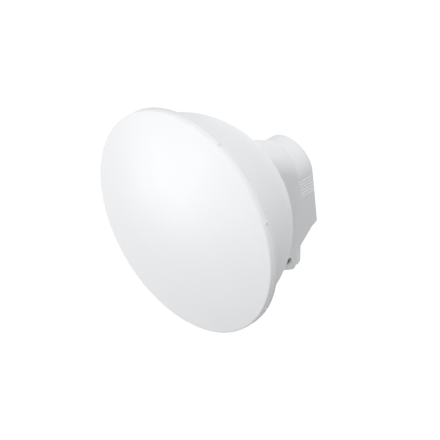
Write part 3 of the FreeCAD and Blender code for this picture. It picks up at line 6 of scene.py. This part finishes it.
import bmesh
import bpy
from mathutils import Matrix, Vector


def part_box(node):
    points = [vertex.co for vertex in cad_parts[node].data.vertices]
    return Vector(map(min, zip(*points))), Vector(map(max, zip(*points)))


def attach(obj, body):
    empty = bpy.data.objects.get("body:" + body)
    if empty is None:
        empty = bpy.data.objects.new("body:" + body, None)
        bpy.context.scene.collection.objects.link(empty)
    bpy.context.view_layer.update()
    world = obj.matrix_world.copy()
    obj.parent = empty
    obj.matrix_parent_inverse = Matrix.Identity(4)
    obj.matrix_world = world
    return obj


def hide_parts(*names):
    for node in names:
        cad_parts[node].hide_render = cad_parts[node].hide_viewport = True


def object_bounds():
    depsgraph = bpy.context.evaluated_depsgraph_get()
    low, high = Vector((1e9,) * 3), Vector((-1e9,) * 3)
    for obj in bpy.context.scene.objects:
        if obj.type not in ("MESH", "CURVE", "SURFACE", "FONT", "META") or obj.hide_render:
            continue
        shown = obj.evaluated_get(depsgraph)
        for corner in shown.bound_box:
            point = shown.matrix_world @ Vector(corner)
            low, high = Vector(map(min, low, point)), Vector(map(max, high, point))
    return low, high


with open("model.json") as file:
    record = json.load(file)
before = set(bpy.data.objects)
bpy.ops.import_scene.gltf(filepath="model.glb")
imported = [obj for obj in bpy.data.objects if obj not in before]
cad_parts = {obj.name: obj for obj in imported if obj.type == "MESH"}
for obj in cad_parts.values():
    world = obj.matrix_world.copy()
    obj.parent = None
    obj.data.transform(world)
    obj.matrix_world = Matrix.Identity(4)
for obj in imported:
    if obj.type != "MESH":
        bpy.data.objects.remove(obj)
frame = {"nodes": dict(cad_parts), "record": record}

CAD_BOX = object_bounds()
SLOTS = {item["node"]: item["material_slot"] for item in frame["record"]["subparts"]}
COLOURS = {item["slot"]: item["base_color"] for item in frame["record"]["materials"]}

MM = 0.001
RIM_LOW, RIM_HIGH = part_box("radome")
RIM_RADIUS = (RIM_HIGH.x - RIM_LOW.x) / 2
AXIS_Z = (RIM_HIGH.z + RIM_LOW.z) / 2
DOME_RISE = 25 * MM
RIM_Y = RIM_LOW.y + DOME_RISE

# the radome's section, and the steps its curves are drawn in
RADOME_WALL = 2.5 * MM
RADOME_EDGE = 3.0 * MM
RADOME_LIP = 0.15 * MM
TURN_STEPS = 288
DOME_STEPS = 72
BEND_STEPS = 10
UNDERSIDE_STEPS = 36
SHARP_ANGLE = math.radians(50)
ON_AXIS = 0.01 * MM


# ---------------------------------------------------------------- camera, light and floor

AZIMUTH = math.radians(44.52)
ELEVATION = math.radians(34.50)
LENS = 200
SENSOR_WIDTH = 36
# metres from the rim's centre: across and up the picture, and out towards the camera
AIM_RIGHT = 0.0581
AIM_UP = 0.0057
DISTANCE = 3.8043

FLOOR_DROP = 1.20
FLOOR_REACH = 30
FLOOR_GREY = 0.20
FLOOR_LIFT = 0.88

WORLD_LEVEL = 0.71
DAYLIGHT = (0.972, 0.980, 1.0)
WHITE = (1, 1, 1)

# name, direction towards the lamp, distance, side, level
LAMPS = (
    ("front", (-0.30, -0.94, -0.08), 2.6, 1.8, 0.23),
    ("left", (-0.60, -0.71, -0.35), 2.6, 1.2, 0.21),
    ("top", (0.34, -0.42, 0.84), 2.6, 1.8, 0.165),
    ("right", (0.62, -0.25, 0.70), 2.6, 1.8, 0.13),
    ("rear", (-0.35, 0.93, -0.08), 2.6, 1.8, 0.11),
)


def add_object(name, data):
    """Links a new object to the scene and returns it."""
    added = bpy.data.objects.new(name, data)
    bpy.context.scene.collection.objects.link(added)
    return added


def aim(looker, direction):
    """Turns a camera or lamp, which look along their own -Z, to look that way."""
    looker.rotation_mode = "QUATERNION"
    looker.rotation_quaternion = direction.to_track_quat("-Z", "Y")


def make_camera():
    right = Vector((math.cos(AZIMUTH), math.sin(AZIMUTH), 0))
    back = Vector((math.sin(AZIMUTH) * math.cos(ELEVATION),
                   -math.cos(AZIMUTH) * math.cos(ELEVATION), math.sin(ELEVATION)))
    up = back.cross(right)
    data = bpy.data.cameras.new("camera")
    data.lens = LENS
    data.sensor_width = SENSOR_WIDTH
    camera = add_object("camera", data)
    camera.location = (Vector((0, RIM_Y, AXIS_Z)) + right * AIM_RIGHT + up * AIM_UP
                       + back * DISTANCE)
    aim(camera, -back)
    bpy.context.scene.camera = camera


def make_lamp(name, towards, distance, side, level):
    """A soft square lamp; level is what it adds to a white surface that faces it."""
    centre = (Vector(CAD_BOX[0]) + Vector(CAD_BOX[1])) / 2
    direction = Vector(towards).normalized()
    data = bpy.data.lights.new(name, "AREA")
    data.shape = "SQUARE"
    data.size = side
    data.energy = level * (math.pi * distance) ** 2
    lamp = add_object(name, data)
    lamp.location = centre + direction * distance
    aim(lamp, -direction)


def seen_directly(nodes, links):
    """Socket that is 1 for camera, mirror and refracted rays, and 0 for all others."""
    path = nodes.new("ShaderNodeLightPath")
    seen = path.outputs["Is Camera Ray"]
    for ray in ("Is Glossy Ray", "Is Transmission Ray"):
        either = nodes.new("ShaderNodeMath")
        either.operation = "MAXIMUM"
        links.new(seen, either.inputs[0])
        links.new(path.outputs[ray], either.inputs[1])
        seen = either.outputs[0]
    return seen


def make_world(level):
    """White where it is seen; what it adds to the part is a little cooler, as daylight is."""
    world = bpy.data.worlds.new("studio")
    bpy.context.scene.world = world
    world.use_nodes = True
    nodes, links = world.node_tree.nodes, world.node_tree.links
    background = nodes["Background"]
    seen = seen_directly(nodes, links)
    colour = nodes.new("ShaderNodeMix")
    colour.data_type = "RGBA"
    colour.inputs["A"].default_value = (*DAYLIGHT, 1)
    colour.inputs["B"].default_value = (*WHITE, 1)
    links.new(seen, colour.inputs["Factor"])
    links.new(colour.outputs["Result"], background.inputs["Color"])
    strength = nodes.new("ShaderNodeMapRange")
    strength.inputs["To Min"].default_value = level
    strength.inputs["To Max"].default_value = 1.0
    links.new(seen, strength.inputs["Value"])
    links.new(strength.outputs["Result"], background.inputs["Strength"])


def make_floor(grey, lift):
    """Floor well below the part; `lift` is the light it adds where it is seen."""
    mesh = bpy.data.meshes.new("floor")
    height = CAD_BOX[0].z - FLOOR_DROP
    sides = ((-1, -1), (1, -1), (1, 1), (-1, 1))
    corners = [(x * FLOOR_REACH, y * FLOOR_REACH, height) for x, y in sides]
    mesh.from_pydata(corners, [], [(0, 1, 2, 3)])
    floor = add_object("floor", mesh)
    material = bpy.data.materials.new("floor")
    material.use_nodes = True
    nodes, links = material.node_tree.nodes, material.node_tree.links
    nodes.clear()
    diffuse = nodes.new("ShaderNodeBsdfDiffuse")
    diffuse.inputs["Color"].default_value = (grey, grey, grey, 1)
    glow = nodes.new("ShaderNodeEmission")
    scaled = nodes.new("ShaderNodeMath")
    scaled.operation = "MULTIPLY"
    scaled.inputs[1].default_value = lift
    links.new(seen_directly(nodes, links), scaled.inputs[0])
    links.new(scaled.outputs[0], glow.inputs["Strength"])
    both = nodes.new("ShaderNodeAddShader")
    links.new(diffuse.outputs[0], both.inputs[0])
    links.new(glow.outputs[0], both.inputs[1])
    output = nodes.new("ShaderNodeOutputMaterial")
    links.new(both.outputs[0], output.inputs["Surface"])
    mesh.materials.append(material)


# ---------------------------------------------------------------- finishes

# the middle of a noise, where nearly all of its values lie
NOISE_LOW, NOISE_HIGH = 0.3, 0.7
EDGE_SAMPLES = 4
PLASTIC_IOR = 1.49
CLEAR_IOR = 1.5
# about one ring to a millimetre
RING_SCALE = 300
FOAM_CELL = 1.3 * MM
TRACK_PITCH = 9 * MM


class Finish:
    """A material under construction, with short calls for the nodes that the finishes share."""

    def __init__(self, name, roughness, metallic=0.0):
        self.material = bpy.data.materials.new(name)
        self.material.use_nodes = True
        self.nodes = self.material.node_tree.nodes
        self.links = self.material.node_tree.links
        self.shader = self.nodes["Principled BSDF"]
        self.coords = self.nodes.new("ShaderNodeTexCoord").outputs["Object"]
        self.colour = COLOURS[name][:3]
        self.put(self.shader, "Roughness", roughness)
        self.put(self.shader, "Metallic", metallic)
        self.put(self.shader, "Base Color", self.shade(1.0))

    def add(self, kind, **values):
        node = self.nodes.new("ShaderNode" + kind)
        for key, value in values.items():
            setattr(node, key, value)
        return node

    def put(self, node, socket, value):
        node.inputs[socket].default_value = value

    def link(self, source, target):
        self.links.new(source, target)

    def shade(self, level):
        """The slot's colour made lighter or darker, up to white."""
        return (*[min(1, part * level) for part in self.colour], 1)

    def noise(self, size, detail, squeeze=(1, 1, 1)):
        """Noise whose features are about `size` metres across, or finer along a squeezed axis."""
        mapping = self.add("Mapping")
        self.put(mapping, "Scale", squeeze)
        self.link(self.coords, mapping.inputs["Vector"])
        texture = self.add("TexNoise")
        self.put(texture, "Scale", 1 / size)
        self.put(texture, "Detail", detail)
        self.link(mapping.outputs["Vector"], texture.inputs["Vector"])
        return texture.outputs["Fac"]

    def spread(self, value, low, high):
        """Maps the useful middle of a noise to the given range."""
        ramp = self.add("MapRange")
        self.put(ramp, "From Min", NOISE_LOW)
        self.put(ramp, "From Max", NOISE_HIGH)
        self.put(ramp, "To Min", low)
        self.put(ramp, "To Max", high)
        self.link(value, ramp.inputs["Value"])
        return ramp.outputs["Result"]

    def tint(self, value, low, high):
        """Varies the colour between two shades of the slot's colour."""
        mix = self.add("Mix", data_type="RGBA")
        self.put(mix, "A", self.shade(low))
        self.put(mix, "B", self.shade(high))
        self.link(self.spread(value, 0, 1), mix.inputs["Factor"])
        self.link(mix.outputs["Result"], self.shader.inputs["Base Color"])

    def rough(self, value, low, high):
        self.link(self.spread(value, low, high), self.shader.inputs["Roughness"])

    def soft_edges(self, radius):
        """Normals rounded at sharp edges, as a moulding's broken corners catch the light."""
        node = self.add("Bevel", samples=EDGE_SAMPLES)
        self.put(node, "Radius", radius)
        return node.outputs["Normal"]

    def bump(self, value, height, strength, under=None):
        """Relief of the given height in metres, on top of the normals of `under`."""
        node = self.add("Bump")
        self.put(node, "Strength", strength)
        self.put(node, "Distance", height)
        self.link(value, node.inputs["Height"])
        if under is not None:
            self.link(under, node.inputs["Normal"])
        self.link(node.outputs["Normal"], self.shader.inputs["Normal"])
        return node.outputs["Normal"]


def moulded(name, roughness, grain, depth, shade=0.985, level=1.0):
    """Moulded plastic: fine spark-eroded grain, faint flow shading and uneven gloss."""
    finish = Finish(name, roughness)
    finish.tint(finish.noise(60 * MM, detail=2), low=shade * level, high=level)
    finish.rough(finish.noise(12 * MM, detail=4), low=roughness - 0.05, high=roughness + 0.05)
    edges = finish.soft_edges(0.4 * MM)
    broad = finish.bump(finish.noise(18 * MM, detail=1), height=0.02 * MM, strength=0.4,
                        under=edges)
    finish.bump(finish.noise(grain, detail=2), height=depth, strength=0.6, under=broad)
    finish.put(finish.shader, "IOR", PLASTIC_IOR)
    return finish.material


def brushed(name, roughness, squeeze, level=1.0):
    """Drawn or turned metal: long fine scratches and uneven gloss."""
    finish = Finish(name, roughness, metallic=1.0)
    lines = finish.noise(0.5 * MM, detail=4, squeeze=squeeze)
    finish.tint(lines, low=0.86 * level, high=1.06 * level)
    finish.rough(lines, low=roughness - 0.08, high=roughness + 0.10)
    finish.bump(lines, height=0.01 * MM, strength=0.5)
    return finish.material


def spun(name, roughness):
    """Spun sheet: fine rings about the reflector axis."""
    finish = Finish(name, roughness, metallic=1.0)
    centred = finish.add("VectorMath", operation="SUBTRACT")
    finish.put(centred, 1, (0, 0, AXIS_Z))
    finish.link(finish.coords, centred.inputs[0])
    rings = finish.add("TexWave", wave_type="RINGS", rings_direction="Y")
    finish.put(rings, "Scale", RING_SCALE)
    finish.put(rings, "Distortion", 1.5)
    finish.link(centred.outputs["Vector"], rings.inputs["Vector"])
    finish.tint(finish.noise(30 * MM, detail=3), low=0.95, high=1.03)
    finish.rough(rings.outputs["Fac"], low=roughness - 0.06, high=roughness + 0.06)
    finish.bump(rings.outputs["Fac"], height=0.01 * MM, strength=0.3)
    return finish.material


def cast(name, roughness, level=1.0, coat=0.0, metallic=0.0):
    """Die-cast or powder-coated metal: a fine orange-peel grain with soft clouds of gloss."""
    finish = Finish(name, roughness, metallic)
    finish.tint(finish.noise(14 * MM, detail=4), low=0.94 * level, high=1.03 * level)
    finish.rough(finish.noise(4 * MM, detail=3), low=roughness - 0.07, high=roughness + 0.07)
    edges = finish.soft_edges(0.8 * MM)
    finish.bump(finish.noise(0.9 * MM, detail=3), height=0.05 * MM, strength=0.6, under=edges)
    finish.put(finish.shader, "Coat Weight", coat)
    finish.put(finish.shader, "Coat Roughness", 0.25)
    return finish.material


def rubbery(name, roughness, grain):
    """Rubber, soft pad or moulded resin: matt, with an even fine grain."""
    finish = Finish(name, roughness)
    finish.tint(finish.noise(5 * MM, detail=3), low=0.85, high=1.15)
    finish.bump(finish.noise(grain, detail=2), height=0.04 * MM, strength=0.7)
    return finish.material


def foam(name, roughness):
    """Open-cell absorber foam."""
    finish = Finish(name, roughness)
    cells = finish.add("TexVoronoi")
    finish.put(cells, "Scale", 1 / FOAM_CELL)
    finish.link(finish.coords, cells.inputs["Vector"])
    finish.tint(finish.noise(8 * MM, detail=3), low=0.7, high=1.3)
    finish.bump(cells.outputs["Distance"], height=0.5 * MM, strength=1.0)
    return finish.material


def board_mask(name, roughness):
    """Solder mask over copper tracks, laid in the board's upright plane."""
    finish = Finish(name, roughness)
    tracks = finish.add("TexBrick", offset=0.37, squash=0.6)
    finish.put(tracks, "Scale", 1 / TRACK_PITCH)
    finish.put(tracks, "Mortar Size", 0.03)
    finish.put(tracks, "Color1", finish.shade(0.9))
    finish.put(tracks, "Color2", finish.shade(1.0))
    finish.put(tracks, "Mortar", finish.shade(1.7))
    turned = finish.add("Mapping")
    finish.put(turned, "Rotation", (math.radians(90), 0, 0))
    finish.link(finish.coords, turned.inputs["Vector"])
    finish.link(turned.outputs["Vector"], tracks.inputs["Vector"])
    finish.link(tracks.outputs["Color"], finish.shader.inputs["Base Color"])
    finish.bump(tracks.outputs["Fac"], height=0.04 * MM, strength=0.6)
    finish.put(finish.shader, "Coat Weight", 0.4)
    return finish.material


def clear(name, roughness, transmission):
    """Clear or milky plastic that lets part of the light through."""
    finish = Finish(name, roughness)
    finish.tint(finish.noise(3 * MM, detail=2), low=0.97, high=1.0)
    finish.bump(finish.noise(1.5 * MM, detail=2), height=0.01 * MM, strength=0.4)
    finish.put(finish.shader, "Transmission Weight", transmission)
    finish.put(finish.shader, "IOR", CLEAR_IOR)
    return finish.material


# how the finish of each slot is made
FINISHES = {
    "radome_white": partial(moulded, roughness=0.36, grain=0.7 * MM, depth=0.012 * MM, shade=0.99),
    "shell_white": partial(moulded, roughness=0.45, grain=0.8 * MM, depth=0.015 * MM, level=0.965),
    "cover_white": partial(moulded, roughness=0.50, grain=0.6 * MM, depth=0.025 * MM),
    "frame_white": partial(moulded, roughness=0.50, grain=0.6 * MM, depth=0.025 * MM),
    # painted highlight: level 1.14 lifts the bracket's colour towards white, standing in for the
    # light its edge catches
    "bracket_coat": partial(cast, roughness=0.42, level=1.14, coat=0.5),
    "screw_white": partial(cast, roughness=0.40),
    "stainless": partial(brushed, roughness=0.30, squeeze=(1, 6, 1)),
    "spun_aluminium": partial(spun, roughness=0.30),
    "cast_aluminium": partial(cast, roughness=0.55, metallic=1.0),
    "plated_brass": partial(brushed, roughness=0.25, squeeze=(3, 1, 3)),
    "gasket_rubber": partial(rubbery, roughness=0.75, grain=0.8 * MM),
    "absorber_foam": partial(foam, roughness=0.95),
    "clear_dielectric": partial(clear, roughness=0.35, transmission=0.3),
    "board_green": partial(board_mask, roughness=0.32),
    "tin_plate": partial(brushed, roughness=0.28, squeeze=(1, 1, 8)),
    "chip_black": partial(rubbery, roughness=0.55, grain=0.4 * MM),
    "thermal_grey": partial(rubbery, roughness=0.8, grain=1.2 * MM),
    "button_grey": partial(moulded, roughness=0.45, grain=0.5 * MM, depth=0.01 * MM, shade=0.95),
    "light_clear": partial(clear, roughness=0.2, transmission=0.7),
}
MATERIALS = {slot: make(slot) for slot, make in FINISHES.items()}


def dress_nodes():
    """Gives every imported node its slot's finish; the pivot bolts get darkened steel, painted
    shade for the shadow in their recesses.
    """
    # painted shade: this steel is darkened to stand in for the shadow in the pivot bolts' recesses
    recess_shade_steel = brushed("stainless", roughness=0.38, squeeze=(1, 6, 1), level=0.42)
    for name, node in frame["nodes"].items():
        finish = recess_shade_steel if name == "pivot_bolts" else MATERIALS[SLOTS[name]]
        node.data.materials.clear()
        node.data.materials.append(finish)


# ---------------------------------------------------------------- the radome

def arc(centre, radius, start, end, steps):
    """Points on an arc; the angles, in degrees, are measured from +radius towards +Y."""
    points = []
    for step in range(steps + 1):
        angle = math.radians(start + (end - start) * step / steps)
        points.append((centre[0] + radius * math.cos(angle),
                       centre[1] + radius * math.sin(angle)))
    return points


def dome(sphere, reach, front, steps):
    """Points on a sphere of that radius, from the axis at `front` out to `reach`."""
    half = math.degrees(math.asin(reach / sphere))
    return arc((0, front + sphere), sphere, -90, -90 + half, steps)


def sphere_over(reach):
    """Radius of the sphere that rises by DOME_RISE over that reach."""
    return (reach ** 2 + DOME_RISE ** 2) / (2 * DOME_RISE)


def lathe(name, section, segments):
    """Turns (radius, Y) points, which begin and end on the reflector axis, into a shell."""
    mesh = bmesh.new()
    rings = []
    for radius, y in section:
        if radius < ON_AXIS:
            rings.append([mesh.verts.new((0, y, AXIS_Z))] * segments)
            continue
        ring = []
        for step in range(segments):
            angle = 2 * math.pi * step / segments
            ring.append(mesh.verts.new((radius * math.cos(angle), y,
                                        AXIS_Z + radius * math.sin(angle))))
        rings.append(ring)
    for ring, after in zip(rings, rings[1:]):
        for step in range(segments):
            beside = (step + 1) % segments
            corners = dict.fromkeys((ring[step], after[step], after[beside], ring[beside]))
            mesh.faces.new(list(corners))
    bmesh.ops.recalc_face_normals(mesh, faces=mesh.faces)
    data = bpy.data.meshes.new(name)
    mesh.to_mesh(data)
    mesh.free()
    data.polygons.foreach_set("use_smooth", [True] * len(data.polygons))
    data.set_sharp_from_angle(angle=SHARP_ANGLE)
    return add_object(name, data)


def radome_section():
    """Dome, tangent bend, skirt with a broken edge at the seam, and the underside."""
    bend_reach = RIM_RADIUS - RADOME_EDGE
    sphere = sphere_over(bend_reach)
    to_bend = sphere - RADOME_EDGE
    bend_y = RIM_LOW.y + sphere - math.sqrt(to_bend ** 2 - bend_reach ** 2)
    meet = math.degrees(math.acos(bend_reach / to_bend))
    outside = dome(sphere, bend_reach * sphere / to_bend, RIM_LOW.y, DOME_STEPS)
    bend = arc((bend_reach, bend_y), RADOME_EDGE, -meet, 0, BEND_STEPS)[1:]

    inner = RIM_RADIUS - RADOME_WALL
    seam_y = RIM_HIGH.y + RADOME_LIP
    seam = [(RIM_RADIUS, RIM_HIGH.y), (RIM_RADIUS - RADOME_LIP, seam_y), (inner, seam_y)]

    chamfer = RADOME_EDGE / 2
    corner = [(inner, RIM_Y + RADOME_WALL + chamfer)]
    under_reach = inner - chamfer
    underside = dome(sphere_over(under_reach), under_reach, RIM_LOW.y + RADOME_WALL,
                     UNDERSIDE_STEPS)[::-1]
    return outside + bend + seam + corner + underside


def dress(piece, slot, rider):
    piece.data.materials.append(MATERIALS[slot])
    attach(piece, rider)


def make_radome():
    """Turned stand-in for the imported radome, whose mesh has a flawed highlight at its pole."""
    piece = lathe("radome_shell", radome_section(), TURN_STEPS)
    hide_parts("radome")
    dress(piece, "radome_white", "dish")


# ---------------------------------------------------------------- scene

make_camera()
make_world(WORLD_LEVEL)
make_floor(FLOOR_GREY, FLOOR_LIFT)
for lamp in LAMPS:
    make_lamp(*lamp)
dress_nodes()
make_radome()
bpy.context.scene.view_settings.view_transform = "Standard"
